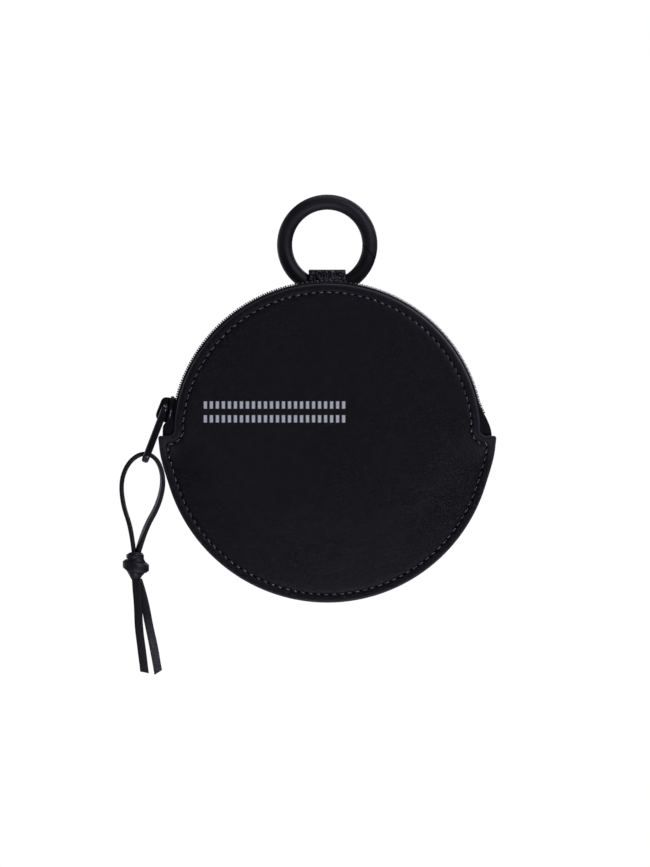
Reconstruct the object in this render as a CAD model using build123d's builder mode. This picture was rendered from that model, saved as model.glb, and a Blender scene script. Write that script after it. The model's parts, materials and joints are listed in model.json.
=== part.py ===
"""Round leather coin purse that hangs by a spring-gate ring, with a curved zip and a lace pull.

Row frame: millimetres, +Z up, the face of the purse towards -Y. The origin is the hang point,
the inside top of the ring. Purse frame: the same axes from the middle of the round body.
"""

import os
from math import cos, degrees, radians, sin, tan

from build123d import *

os.makedirs("parts", exist_ok=True)

# ---- driving dimensions ---------------------------------------------------------------------
RING_INNER_R = 12.5
WIRE_R = 2.72
RING_Y = 10.45  # the ring's plane, behind the middle of the body
RING_Z = 68.65  # the ring's centre, above the middle of the body

RIM_R = 58.8  # sewn lower edge
SHOULDER_X = 59.3  # where the sewn edge ends, beside the zip's two ends
SHOULDER_Z = -5.0
PANEL_R = 54.4  # upper edge of both panels, beside the zip
SPLIT_Z = 0.6  # half the gap left where the front folds open
BODY_HALF = 6.0  # half thickness of the body, outside the leather
RIM_HALF = 1.6
LEATHER = 1.3
LINING = 0.25
LAYER_GAP = 0.05

ZIP_R = 55.0  # middle of the row of teeth
TAPE = 0.5
TAPE_EDGE_Y = 1.0
TAPE_END_Z = 3.8
SEAM_DEPTH = 6.0
TOOTH_PITCH = 1.7
TOOTH_LENGTH = 0.7
TOOTH_HEIGHT = 1.7
TOOTH_TIP_Y = -0.25
TOOTH_ROOT_Y = 2.3
ZIP_START = 9.2  # degrees above the horizontal, at both ends
STOP_ANGLE = 4.2

STITCH = (1.9, 0.5)
STITCH_HEIGHT = 0.25
STITCH_PITCH = 2.8
SEAM_INSET = 3.0

SLIDER_ANGLE = 10.0
SLIDER_HALF = 4.8
PLATE = 1.0
PLATE_N = 1.05  # from the middle of the teeth to a plate
FLANGE_N = 0.6
PIVOT_OUT = 3.45  # the pull's top bar, outwards from the teeth
PIVOT_DOWN = -0.6  # and towards the closed end
PULLER_LEAN = 21.0
PULLER_LENGTH = 20.0  # between the middles of its two end bars
PULLER_BAR = 2.2
PULLER_THICK = 2.4
PULLER_GAP = 4.2

TAB_WIDTH = 13.3
TAB = 1.2
TAB_GAP = 0.25
TAB_TOP = 59.8
TAB_HINGE_Z = 46.5
TAB_ANCHOR = 12.0

LACE_WIDTH = 3.0
LACE = 1.4
KNOT_X = -68.1
KNOT_Z = -46.0

# ---- frames ---------------------------------------------------------------------------------
RING_CENTRE = Vector(0, 0, -RING_INNER_R)
BODY = RING_CENTRE - Vector(0, RING_Y, RING_Z)
FRONT = -1
BACK = 1

FACE = Plane(origin=BODY, x_dir=(1, 0, 0), z_dir=(0, -1, 0))  # seen from the front
DOWN = Plane(origin=BODY, x_dir=(0, 0, -1), z_dir=(1, 0, 0))  # radius downwards, y backwards
UP = Plane(origin=BODY, x_dir=(0, 0, 1), z_dir=(-1, 0, 0))  # radius upwards, y backwards
SECTION = Plane(origin=BODY, x_dir=(0, 1, 0), z_dir=(1, 0, 0))  # y backwards, z upwards
RING = Plane(origin=RING_CENTRE, x_dir=(1, 0, 0), z_dir=(0, -1, 0))
BODY_AXIS = Axis(BODY, (0, 1, 0))
HORIZON = Plane.XY.offset(BODY.Z)


def polar(radius, angle):
    """A point in a plane, from its radius and its angle in degrees."""
    return (radius * cos(radians(angle)), radius * sin(radians(angle)))


def save(part, name):
    """Label a finished piece and write it."""
    part.label = name
    export_step(part, f"parts/{name}.step")


# ---- ring and its gate ----------------------------------------------------------------------
RING_MID_R = RING_INNER_R + WIRE_R
PIN_ANGLE = -59.0
PIN_AT = polar(16.0, PIN_ANGLE)
PIN_R = 0.8
PIN_HALF = 2.45
KNUCKLE_R = 3.6
KNUCKLE_GAP = 0.1
TONGUE_HALF = 1.0
TONGUE_GAP = 0.12
SEAM_IN = Vector(*polar(RING_INNER_R, 2.0))
SEAM_OUT = Vector(*polar(RING_INNER_R + 2 * WIRE_R, -17.0))
SEAM_HALF_GAP = 0.06
SLAB = 8.0
PIN_CLEARANCE = 0.05
SPRING_R = 1.9
SPRING_WIRE = 0.3
POCKET_R = 2.1
POCKET = 0.8


def gate_outline(gap):
    """The gate's stretch of the ring, in the ring's plane, with its nose drawn back by gap."""
    along = (SEAM_OUT - SEAM_IN).normalized()
    back = Vector(along.Y, -along.X) * gap
    nose_in = SEAM_IN - along * 5 + back
    nose_out = SEAM_OUT + along * 5 + back
    return [nose_in, nose_out, polar(26, -38), polar(26, PIN_ANGLE), polar(7, PIN_ANGLE), polar(7, -30)]


with BuildPart() as ring_body:
    with BuildSketch(UP.shift_origin(RING_CENTRE)):
        with Locations((RING_MID_R, 0)):
            Circle(WIRE_R)
    revolve(axis=Axis(RING_CENTRE, (0, 1, 0)))
    with BuildSketch(RING.offset(-SLAB)):
        with BuildLine():
            Polyline(*gate_outline(-SEAM_HALF_GAP), close=True)
        make_face()
        with Locations(PIN_AT):
            Circle(KNUCKLE_R, mode=Mode.SUBTRACT)
    extrude(amount=2 * SLAB, mode=Mode.SUBTRACT)
    with BuildSketch(RING.offset(-TONGUE_HALF - TONGUE_GAP)):
        with Locations(PIN_AT):
            Circle(KNUCKLE_R + KNUCKLE_GAP)
    extrude(amount=2 * (TONGUE_HALF + TONGUE_GAP), mode=Mode.SUBTRACT)
    with BuildSketch(RING.offset(-SLAB)):
        with Locations(PIN_AT):
            Circle(PIN_R)
    extrude(amount=2 * SLAB, mode=Mode.SUBTRACT)
save(ring_body.part, "ring_body")

with BuildPart() as gate_arm:
    with BuildSketch(UP.shift_origin(RING_CENTRE)):
        with Locations((RING_MID_R, 0)):
            Circle(WIRE_R)
    revolve(axis=Axis(RING_CENTRE, (0, 1, 0)))
    with BuildSketch(RING.offset(-SLAB)):
        with BuildLine():
            Polyline(*gate_outline(SEAM_HALF_GAP), close=True)
        make_face()
        with Locations(PIN_AT):
            Circle(KNUCKLE_R)
    extrude(amount=2 * SLAB, mode=Mode.INTERSECT)
    for side in (FRONT, BACK):
        with BuildSketch(RING.offset(side * TONGUE_HALF)):
            with Locations(PIN_AT):
                Circle(KNUCKLE_R + KNUCKLE_GAP)
        extrude(amount=side * SLAB, mode=Mode.SUBTRACT)
    with BuildSketch(RING.offset(-SLAB)):
        with Locations(PIN_AT):
            Circle(PIN_R + PIN_CLEARANCE)
    extrude(amount=2 * SLAB, mode=Mode.SUBTRACT)
    with BuildSketch(RING.offset(-TONGUE_HALF)):
        with Locations(PIN_AT):
            Circle(POCKET_R)
    extrude(amount=POCKET, mode=Mode.SUBTRACT)
save(gate_arm.part, "gate_arm")

with BuildPart() as gate_pin:
    with BuildSketch(RING.offset(-PIN_HALF)):
        with Locations(PIN_AT):
            Circle(PIN_R)
    extrude(amount=2 * PIN_HALF)
save(gate_pin.part, "gate_pin")

with BuildPart() as gate_spring:
    with BuildSketch(RING.offset(-TONGUE_HALF + 0.1)):
        with Locations(PIN_AT):
            Circle(SPRING_R)
            Circle(SPRING_R - 2 * SPRING_WIRE, mode=Mode.SUBTRACT)
    extrude(amount=2 * SPRING_WIRE)
save(gate_spring.part, "gate_spring")

# ---- leather tab that carries the body on the ring ------------------------------------------
TAB_FRONT_Y = BODY_HALF + TAB_GAP
TAB_MID_Y = TAB_FRONT_Y + TAB
TAB_LOOP_R = RING_Y - TAB_FRONT_Y - TAB / 2
TAB_BACK_Y = RING_Y + TAB_LOOP_R
TAB_CORNER_Z = 51.75
TAB_CORNER_R = 3.5
TAB_RELIEF = 1.2  # room for the strap's fold at its hinge

with BuildPart() as hanger_tab_loop:
    with BuildSketch(SECTION.offset(-TAB_WIDTH / 2)):
        with BuildLine():
            FilletPolyline(
                (TAB_MID_Y + TAB / 2, TAB_HINGE_Z),
                (TAB_BACK_Y, TAB_CORNER_Z),
                (TAB_BACK_Y, TAB_TOP - TAB / 2),
                (TAB_FRONT_Y + TAB / 2, TAB_TOP - TAB / 2),
                (TAB_FRONT_Y + TAB / 2, TAB_HINGE_Z),
                radius=[TAB_CORNER_R] * 3,
            )
        trace(line_width=TAB)
        with Locations((TAB_MID_Y, TAB_HINGE_Z)):
            Circle(TAB + TAB_RELIEF, mode=Mode.SUBTRACT)
        with Locations((TAB_MID_Y, TAB_HINGE_Z - 5)):
            Rectangle(8, 10, mode=Mode.SUBTRACT)
    extrude(amount=TAB_WIDTH)
save(hanger_tab_loop.part, "hanger_tab_loop")

with BuildPart() as hanger_tab_anchor:
    with BuildSketch(SECTION.offset(-TAB_WIDTH / 2)):
        with Locations((TAB_MID_Y, TAB_HINGE_Z)):
            Circle(TAB)
        with Locations((TAB_MID_Y, TAB_HINGE_Z - TAB_ANCHOR / 2)):
            Rectangle(2 * TAB, TAB_ANCHOR)
    extrude(amount=TAB_WIDTH)
save(hanger_tab_anchor.part, "hanger_tab_anchor")

with BuildPart() as hanger_tab_stitches:
    with BuildSketch(FACE.offset(-TAB_MID_Y - TAB)):
        with Locations((0, TAB_HINGE_Z - TAB_ANCHOR / 2)):
            with GridLocations(TAB_WIDTH - 4.8, STITCH_PITCH, 2, 4):
                Rectangle(STITCH[1], STITCH[0])
    extrude(amount=-STITCH_HEIGHT)
save(hanger_tab_stitches.part, "hanger_tab_stitches")


# ---- body: two panels, each leather with a lining -------------------------------------------
DISH = ((0, BODY_HALF), (30, 5.4), (46, 3.4), (53.5, RIM_HALF), (61, RIM_HALF))


def lower_panel(side, edge, outer, thickness, top_z):
    """The lower half of one layer: a shallow dish, drawn in from the rim by edge, up to top_z."""
    outside = [(radius, side * (half - outer)) for radius, half in DISH]
    inside = [(radius, side * (half - outer - thickness)) for radius, half in reversed(DISH)]
    rim = RIM_R - edge
    shoulder = SHOULDER_X - edge
    corner_x = (rim**2 - SHOULDER_Z**2) ** 0.5
    with BuildPart() as layer:
        with BuildSketch(DOWN):
            with BuildLine():
                Polyline(*outside, *inside, close=True)
            make_face()
        revolve(axis=BODY_AXIS)
        with BuildSketch(FACE.offset(-SLAB)):
            with BuildLine():
                ThreePointArc((-corner_x, SHOULDER_Z), (0, -rim), (corner_x, SHOULDER_Z))
                Polyline(
                    (corner_x, SHOULDER_Z),
                    (shoulder, top_z),
                    (-shoulder, top_z),
                    (-corner_x, SHOULDER_Z),
                )
            make_face()
        extrude(amount=2 * SLAB, mode=Mode.INTERSECT)
    return layer.part


def upper_panel(side, radius, outer, thickness, bottom_z):
    """The upper half of one layer, a flat plate under the zip."""
    with BuildPart() as layer:
        with BuildSketch(FACE.offset(-side * (BODY_HALF - outer))):
            Circle(radius)
            with Locations((0, bottom_z - radius)):
                Rectangle(2 * radius, 2 * radius, mode=Mode.SUBTRACT)
        extrude(amount=side * thickness)
    return layer.part


LINING_OUT = LEATHER + LAYER_GAP
LINING_EDGE = 0.6
UPPER_LINING_OUT = LEATHER + TAPE + LAYER_GAP

with BuildPart() as back_panel:
    add(lower_panel(BACK, 0, 0, LEATHER, 0))
    add(upper_panel(BACK, PANEL_R, 0, LEATHER, 0))
save(back_panel.part, "back_panel")

with BuildPart() as back_lining_lower:
    add(lower_panel(BACK, LINING_EDGE, LINING_OUT, LINING, 0))
save(back_lining_lower.part, "back_lining_lower")

with BuildPart() as back_lining_upper:
    add(upper_panel(BACK, PANEL_R - LINING_EDGE, UPPER_LINING_OUT, LINING, 0))
save(back_lining_upper.part, "back_lining_upper")

with BuildPart() as front_panel_lower:
    add(lower_panel(FRONT, 0, 0, LEATHER, -SPLIT_Z))
save(front_panel_lower.part, "front_panel_lower")

with BuildPart() as front_lining_lower:
    add(lower_panel(FRONT, LINING_EDGE, LINING_OUT, LINING, -SPLIT_Z))
save(front_lining_lower.part, "front_lining_lower")

with BuildPart() as front_panel_upper:
    add(upper_panel(FRONT, PANEL_R, 0, LEATHER, SPLIT_Z))
save(front_panel_upper.part, "front_panel_upper")

with BuildPart() as front_lining_upper:
    add(upper_panel(FRONT, PANEL_R - LINING_EDGE, UPPER_LINING_OUT, LINING, SPLIT_Z))
save(front_lining_upper.part, "front_lining_upper")

# ---- zip: two tapes, two rows of teeth and three stops --------------------------------------
TAPE_OUT_Y = BODY_HALF - LEATHER - LAYER_GAP
TAPE_FLANGE = 0.35


def zip_tape(side):
    """One tape: flat beside the teeth, then turned down between the leather and the lining."""
    low = ZIP_R - TAPE / 2
    high = ZIP_R + TAPE / 2
    with BuildPart() as tape:
        with BuildSketch(UP):
            with BuildLine():
                Polyline(
                    (high, side * TAPE_EDGE_Y),
                    (high, side * TAPE_OUT_Y),
                    (low - SEAM_DEPTH, side * TAPE_OUT_Y),
                    (low - SEAM_DEPTH, side * (TAPE_OUT_Y - TAPE_FLANGE)),
                    (low, side * (TAPE_OUT_Y - TAPE_FLANGE)),
                    (low, side * TAPE_EDGE_Y),
                    close=True,
                )
            make_face()
        revolve(axis=BODY_AXIS)
        split(bisect_by=HORIZON.offset(TAPE_END_Z), keep=Keep.TOP)
    return tape.part


def teeth(side, shift):
    """One row of teeth. The two rows stand half a pitch apart."""
    step = degrees(TOOTH_PITCH / ZIP_R)
    count = int((180 - 2 * ZIP_START) / step)
    start = (180 - (count - 1) * step) / 2 + shift * step
    with BuildPart() as tooth_row:
        with BuildSketch(FACE.offset(-side * TOOTH_TIP_Y)):
            with PolarLocations(ZIP_R, count, start, step * count, endpoint=False):
                Rectangle(TOOTH_HEIGHT, TOOTH_LENGTH)
        extrude(amount=-side * (TOOTH_ROOT_Y - TOOTH_TIP_Y))
    return tooth_row.part


def stop(side, angle, from_y, to_y, length):
    """A small metal stop crimped over the end of a tape."""
    with BuildPart() as crimp:
        with BuildSketch(FACE.offset(-side * from_y)):
            with PolarLocations(ZIP_R, 1, angle):
                RectangleRounded(TOOTH_HEIGHT + 0.4, length, 0.4)
        extrude(amount=-side * (to_y - from_y))
    return crimp.part


with BuildPart() as back_zip_tape:
    add(zip_tape(BACK))
save(back_zip_tape.part, "back_zip_tape")

with BuildPart() as front_zip_tape:
    add(zip_tape(FRONT))
save(front_zip_tape.part, "front_zip_tape")

with BuildPart() as back_teeth:
    add(teeth(BACK, 0.25))
save(back_teeth.part, "back_teeth")

with BuildPart() as front_teeth:
    add(teeth(FRONT, -0.25))
save(front_teeth.part, "front_teeth")

with BuildPart() as back_top_stop:
    add(stop(BACK, 180 - STOP_ANGLE, 0.3, 2.2, 1.1))
save(back_top_stop.part, "back_top_stop")

with BuildPart() as front_top_stop:
    add(stop(FRONT, 180 - STOP_ANGLE, 0.3, 2.2, 1.1))
save(front_top_stop.part, "front_top_stop")

with BuildPart() as bottom_stop:
    add(stop(BACK, 6.4, -0.7, 2.2, 2.6))
save(bottom_stop.part, "bottom_stop")


# ---- stitching ------------------------------------------------------------------------------
def seam_stitches(side, radius, half, first, last):
    """A row of stitches standing on a panel's face, along an arc from first to last degrees."""
    step = degrees(STITCH_PITCH / radius)
    count = int((last - first) / step)
    with BuildPart() as seam:
        with BuildSketch(FACE.offset(-side * half)):
            with PolarLocations(radius, count, first, last - first, endpoint=False):
                Rectangle(STITCH[1], STITCH[0])
        extrude(amount=-side * STITCH_HEIGHT)
    return seam.part


RIM_STITCH_R = RIM_R - SEAM_INSET
TOP_STITCH_R = PANEL_R - SEAM_INSET

with BuildPart() as front_seam_stitches:
    add(seam_stitches(FRONT, TOP_STITCH_R, BODY_HALF, 5, 175))
save(front_seam_stitches.part, "front_seam_stitches")

with BuildPart() as back_seam_stitches:
    add(seam_stitches(BACK, TOP_STITCH_R, BODY_HALF, 5, 175))
save(back_seam_stitches.part, "back_seam_stitches")

with BuildPart() as rim_stitches:
    for face in (FRONT, BACK):
        add(seam_stitches(face, RIM_STITCH_R, RIM_HALF, 184, 356))
save(rim_stitches.part, "rim_stitches")

# ---- slider ---------------------------------------------------------------------------------
OUTWARDS = Vector(-cos(radians(SLIDER_ANGLE)), 0, sin(radians(SLIDER_ANGLE)))
CLOSING = Vector(-OUTWARDS.Z, 0, OUTWARDS.X)
SLIDER_AT = BODY + OUTWARDS * ZIP_R
PLAN = Plane(origin=SLIDER_AT, x_dir=(0, 1, 0), z_dir=OUTWARDS)  # y, then towards the closed end
PROFILE = Plane(origin=SLIDER_AT, x_dir=OUTWARDS, z_dir=(0, -1, 0))  # outwards, then closing
NARROW = 3.1
WIDE = 4.2
INNER_PLATE_LESS = 0.7
TEETH_CHANNEL = 2.4


def plate_outline(less):
    """A slider plate, narrow over the closed teeth and wide where the two rows part."""
    half = [(NARROW - less, -SLIDER_HALF), (NARROW - less, 0.4), (WIDE - less, 2.6), (WIDE - less, SLIDER_HALF)]
    with BuildSketch() as outline:
        with BuildLine():
            Polyline(*half, *[(-x, y) for x, y in reversed(half)], close=True)
        make_face()
        fillet(outline.vertices(), radius=0.9)
    return outline.sketch


with BuildPart() as slider_body:
    for face, less in ((1, 0), (-1, INNER_PLATE_LESS)):
        with BuildSketch(PLAN.offset(face * PLATE_N)):
            add(plate_outline(less))
        extrude(amount=face * PLATE)
        with BuildSketch(PLAN.offset(face * FLANGE_N)):
            add(plate_outline(less))
            Rectangle(2 * TEETH_CHANNEL, 3 * SLIDER_HALF, mode=Mode.SUBTRACT)
        extrude(amount=face * (PLATE_N - FLANGE_N))
    with BuildSketch(PLAN.offset(-PLATE_N)):
        with BuildLine():
            Polyline((0, 1.6), (0.55, 3.4), (0.4, 4.4), (-0.4, 4.4), (-0.55, 3.4), close=True)
        make_face()
    extrude(amount=2 * PLATE_N)
    rims = edges().filter_by(PLAN).group_by(Axis(SLIDER_AT, OUTWARDS))
    fillet(rims[-1] + rims[0], radius=0.35)
save(slider_body.part, "slider_body")

PLATE_TOP = PLATE_N + PLATE
BRIDGE_HALF = 1.0

with BuildPart() as slider_bridge:
    with BuildSketch(PROFILE.offset(-BRIDGE_HALF)):
        with BuildLine():
            Polyline(
                (PLATE_TOP, -4.2),
                (5.2, -4.0),
                (6.5, 3.0),
                (5.6, 4.1),
                (PLATE_TOP, 4.3),
                close=True,
            )
        make_face()
        fillet(vertices().group_by(Axis(SLIDER_AT, OUTWARDS))[-1], radius=0.9)
        with Locations((PLATE_TOP + 1.375, PIVOT_DOWN)):
            RectangleRounded(2.75, 5.0, 1.2, mode=Mode.SUBTRACT)
    extrude(amount=2 * BRIDGE_HALF)
save(slider_bridge.part, "slider_bridge")

# ---- wire puller ----------------------------------------------------------------------------
PIVOT = SLIDER_AT + OUTWARDS * PIVOT_OUT + CLOSING * PIVOT_DOWN
HANG = Vector(-sin(radians(PULLER_LEAN)), 0, -cos(radians(PULLER_LEAN)))
PULLER_END = PIVOT + HANG * PULLER_LENGTH
PULL_FACE = Plane(origin=PIVOT, x_dir=(0, 1, 0), z_dir=HANG.cross(Vector(0, 1, 0)))

with BuildPart() as puller_loop:
    with BuildSketch(PULL_FACE.offset(-PULLER_THICK / 2)):
        middle = (0, PULLER_LENGTH / 2 * PULL_FACE.y_dir.dot(HANG))
        with Locations(middle):
            RectangleRounded(PULLER_GAP + 2 * PULLER_BAR, PULLER_LENGTH + PULLER_BAR, 3.2)
            RectangleRounded(PULLER_GAP, PULLER_LENGTH - PULLER_BAR, 1.1, mode=Mode.SUBTRACT)
    extrude(amount=PULLER_THICK)
    fillet(edges().filter_by(PULL_FACE), radius=0.85)
save(puller_loop.part, "puller_loop")


# ---- lace pull: a loop, a knot and two tails ------------------------------------------------
def corner_radii(points):
    """The largest arc that each corner of a cord's route has room for."""
    corners = [Vector(*point) for point in points]
    radii = []
    for before, at, after in zip(corners, corners[1:], corners[2:]):
        turn = (at - before).get_angle(after - at)
        shorter = min((at - before).length, (after - at).length)
        radii.append(0.45 * shorter / tan(radians(turn / 2)))
    return radii


def lace(points, from_y, breadth, depth):
    """A flat lace along a route in the purse's plane, from from_y back by depth."""
    radii = corner_radii(points)
    with BuildPart() as strip:
        with BuildSketch(FACE.offset(-from_y)):
            with BuildLine() as route:
                FilletPolyline(*points, radius=radii)
            trace(line_width=breadth)
        extrude(amount=-depth)
    length = sum(edge.length for edge in route.edges())
    print(f"lace: length {length:.1f}, radii", [round(radius, 1) for radius in radii])
    print(f"  volume {strip.part.volume:.1f}, and {depth * breadth * length:.1f} by its section")
    return strip.part


LOOP_ROUTE = (
    (-68.7, -41.0),
    (-69.6, -32.6),
    (-72.6, -24.2),
    (-73.4, -15.4),
    (-70.4, -8.4),
    (-64.9, -5.2),
    (-60.0, -8.0),
    (-58.0, -15.4),
    (-60.0, -24.2),
    (-65.0, -32.8),
    (-67.3, -41.0),
)
LEFT_TAIL_ROUTE = ((-67.9, -50.6), (-67.2, -58.9), (-67.0, -67.4), (-65.9, -75.4), (-64.9, -83.6))
RIGHT_TAIL_ROUTE = ((-67.3, -50.6), (-64.9, -58.4), (-63.4, -66.8), (-61.5, -75.2), (-60.1, -83.6))

with BuildPart() as lace_loop:
    add(lace(LOOP_ROUTE, -LACE_WIDTH / 2, LACE, LACE_WIDTH))
save(lace_loop.part, "lace_loop")

with BuildPart() as lace_tail_left:
    add(lace(LEFT_TAIL_ROUTE, -0.1 - LACE, LACE_WIDTH, LACE))
save(lace_tail_left.part, "lace_tail_left")

with BuildPart() as lace_tail_right:
    add(lace(RIGHT_TAIL_ROUTE, 0.1, LACE_WIDTH, LACE))
save(lace_tail_right.part, "lace_tail_right")

KNOT_PROFILE = ((0, 5), (2.8, 5), (3.5, 4.4), (3.5, 2.6), (4.5, 1.6), (4.6, -1.6), (3.4, -4), (2.4, -4.6), (0, -4.6))

with BuildPart() as lace_knot:
    with BuildSketch(FACE):
        with BuildLine():
            Polyline(*[(KNOT_X + x, KNOT_Z + z) for x, z in KNOT_PROFILE], close=True)
        make_face()
    revolve(axis=Axis(BODY + Vector(KNOT_X, 0, KNOT_Z), (0, 0, 1)))
save(lace_knot.part, "lace_knot")

print("slider axis", tuple(BODY), "pivot", tuple(PIVOT), "puller end", tuple(PULLER_END))
print("tab hinge", (0, BODY.Y + TAB_MID_Y, BODY.Z + TAB_HINGE_Z), "gate pin", PIN_AT)
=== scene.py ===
import json
from math import atan2, ceil, cos, degrees, exp, hypot, pi, radians, sin, sqrt

import bmesh
import bpy
import numpy as np
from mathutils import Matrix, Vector, noise
from mathutils.geometry import delaunay_2d_cdt


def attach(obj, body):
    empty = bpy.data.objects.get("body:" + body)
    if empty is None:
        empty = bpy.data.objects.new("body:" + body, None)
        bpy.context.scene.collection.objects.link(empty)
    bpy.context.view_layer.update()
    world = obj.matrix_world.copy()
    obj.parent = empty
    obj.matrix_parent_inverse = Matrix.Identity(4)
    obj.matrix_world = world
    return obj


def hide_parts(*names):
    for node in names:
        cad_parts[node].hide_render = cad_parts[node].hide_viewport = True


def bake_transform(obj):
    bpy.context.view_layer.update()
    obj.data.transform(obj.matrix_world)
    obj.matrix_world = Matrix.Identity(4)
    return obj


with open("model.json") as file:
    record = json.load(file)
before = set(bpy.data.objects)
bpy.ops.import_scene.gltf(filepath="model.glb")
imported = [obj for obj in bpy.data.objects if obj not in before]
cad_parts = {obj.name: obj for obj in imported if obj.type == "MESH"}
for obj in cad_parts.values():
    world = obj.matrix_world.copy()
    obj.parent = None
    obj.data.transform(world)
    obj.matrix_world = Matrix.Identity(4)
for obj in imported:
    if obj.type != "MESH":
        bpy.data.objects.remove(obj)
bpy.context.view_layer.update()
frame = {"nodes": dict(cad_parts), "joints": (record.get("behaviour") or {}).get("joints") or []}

# ---- the purse frame ------------------------------------------------------------------------
# Lengths are in millimetres from the middle of the round body. at() puts them in the row frame.
MM = 0.001
JOINTS = {joint["name"]: joint for joint in frame["joints"]}
CENTRE = Vector(JOINTS["zip_travel"]["pos_m"])
RING_CENTRE = Vector(JOINTS["tab_slide"]["pos_m"])

RIM_R = 58.8
PANEL_R = 54.4
ZIP_R = 55.0
SHOULDER_X = 60.0
BODY_HALF = 6.0
RIM_HALF = 1.6
LEATHER = 1.3
SEAM_INSET = 3.0
STITCH_PITCH = 2.8
TOOTH_PITCH = 1.7
TAB_WIDTH = 13.3
TAB = 1.2
TAB_FRONT_Y = 6.25
RING_Y = 10.45
LACE_WIDTH = 3.0
LACE = 1.4
KNOT_X = -68.1
KNOT_Z = -46.0
# Which face of the purse a piece is on, as the sign of its y.
FRONT = -1
BACK = 1


def at(x, y, z):
    """A point of the purse frame, in metres in the row frame."""
    return CENTRE + Vector((x, y, z)) * MM


def step(low, high, value):
    """A smooth step from 0 at low to 1 at high."""
    share = min(max((value - low) / (high - low), 0.0), 1.0)
    return share * share * (3 - 2 * share)


def bell(distance, width):
    """1 at no distance, falling smoothly to nothing past a width or two."""
    return exp(-((distance / width) ** 2))


# ---- camera and lights ----------------------------------------------------------------------
VIEW_HEIGHT = 308.1
VIEW_OFFSET = (-0.8, 1.3)
CAMERA_DISTANCE = 2.4
SENSOR = 36.0
FAR_CLIP = 20.0
LIGHT_SHADE = 0.82


def make_camera():
    """A long lens level with the body, as wide as the picture needs at the purse's rim."""
    data = bpy.data.cameras.new("camera")
    data.sensor_width = SENSOR
    data.lens = CAMERA_DISTANCE * SENSOR / (VIEW_HEIGHT * MM)
    camera = bpy.data.objects.new("camera", data)
    camera.location = at(VIEW_OFFSET[0], 0, VIEW_OFFSET[1]) - Vector((0, CAMERA_DISTANCE, 0))
    camera.rotation_euler = (pi / 2, 0, 0)
    data.clip_end = FAR_CLIP
    bpy.context.collection.objects.link(camera)
    bpy.context.scene.camera = camera


def area_light(name, place, size, power):
    """A soft box, slightly blue, that faces the purse."""
    data = bpy.data.lights.new(name, "AREA")
    data.shape = "RECTANGLE"
    data.size, data.size_y = size
    data.energy = power
    data.color = (LIGHT_SHADE, LIGHT_SHADE, 1.0)
    light = bpy.data.objects.new(name, data)
    light.location = CENTRE + Vector(place)
    light.rotation_euler = (-Vector(place)).to_track_quat("-Z", "Y").to_euler()
    bpy.context.collection.objects.link(light)


make_camera()


# ---- node trees -----------------------------------------------------------------------------
class Value:
    """An output of a node tree. Arithmetic on it adds Math nodes."""

    def __init__(self, tree, socket):
        self.tree = tree
        self.socket = socket

    def math(self, operation, *others):
        return self.tree.node("ShaderNodeMath", {"operation": operation}, dict(enumerate((self, *others))))[0]

    def swapped(self, operation, other):
        return self.tree.node("ShaderNodeMath", {"operation": operation}, {0: other, 1: self})[0]

    def __add__(self, other):
        return self.math("ADD", other)

    def __sub__(self, other):
        return self.math("SUBTRACT", other)

    def __mul__(self, other):
        return self.math("MULTIPLY", other)

    def __rsub__(self, other):
        return self.swapped("SUBTRACT", other)

    __radd__ = __add__
    __rmul__ = __mul__


class Outputs:
    """The outputs of one node, by name or number."""

    def __init__(self, tree, node):
        self.tree = tree
        self.node = node

    def __getitem__(self, key):
        return Value(self.tree, self.node.outputs[key])


class Tree:
    """A node tree that is built one node at a time."""

    def __init__(self, nodes):
        self.nodes = nodes

    def node(self, kind, settings=None, inputs=None):
        made = self.nodes.nodes.new(kind)
        for name, value in (settings or {}).items():
            if name == "stops":
                self.fill_ramp(made.color_ramp, value)
            else:
                setattr(made, name, value)
        for key, value in (inputs or {}).items():
            if isinstance(value, Value):
                self.nodes.links.new(value.socket, made.inputs[key])
            else:
                made.inputs[key].default_value = value
        return Outputs(self, made)

    @staticmethod
    def fill_ramp(ramp, stops):
        while len(ramp.elements) < len(stops):
            ramp.elements.new(0.5)
        for element, (place, shade) in zip(ramp.elements, stops):
            element.position = place
            element.color = (shade, shade, shade, 1)


class Finish(Tree):
    """A material made of nodes round one Principled shader."""

    def __init__(self, name):
        self.material = bpy.data.materials.new(name)
        self.material.use_nodes = True
        super().__init__(self.material.node_tree)
        self.nodes.nodes.clear()
        self.place = self.node("ShaderNodeTexCoord")["Object"]

    def noise(self, scale, detail=3.0, roughness=0.5, vector=None):
        inputs = {"Vector": vector or self.place, "Scale": scale, "Detail": detail, "Roughness": roughness}
        return self.node("ShaderNodeTexNoise", {}, inputs)["Fac"]

    def cells(self, scale, feature="F1", vector=None):
        inputs = {"Vector": vector or self.place, "Scale": scale}
        return self.node("ShaderNodeTexVoronoi", {"feature": feature}, inputs)["Distance"]

    def ramp(self, value, *stops):
        return self.node("ShaderNodeValToRGB", {"stops": stops}, {"Fac": value})["Color"]

    def colour(self, share, low, high):
        inputs = {0: share, 6: (*low, 1), 7: (*high, 1)}
        return self.node("ShaderNodeMix", {"data_type": "RGBA"}, inputs)[2]

    def tint(self, share, low, high):
        """The same mix with a colour that is already a node's output as its low end."""
        inputs = {0: share, 6: low, 7: (*high, 1)}
        return self.node("ShaderNodeMix", {"data_type": "RGBA"}, inputs)[2]

    def bump(self, height, distance, strength=1.0, normal=None):
        inputs = {"Height": height, "Distance": distance, "Strength": strength}
        if normal:
            inputs["Normal"] = normal
        return self.node("ShaderNodeBump", {}, inputs)["Normal"]

    def done(self, **inputs):
        named = {name.replace("_", " "): value for name, value in inputs.items()}
        shader = self.node("ShaderNodeBsdfPrincipled", {}, named)["BSDF"]
        self.node("ShaderNodeOutputMaterial", {}, {"Surface": shader})
        return self.material


# ---- finishes -------------------------------------------------------------------------------
GRAIN_DRIFT = 0.2 * MM


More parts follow.
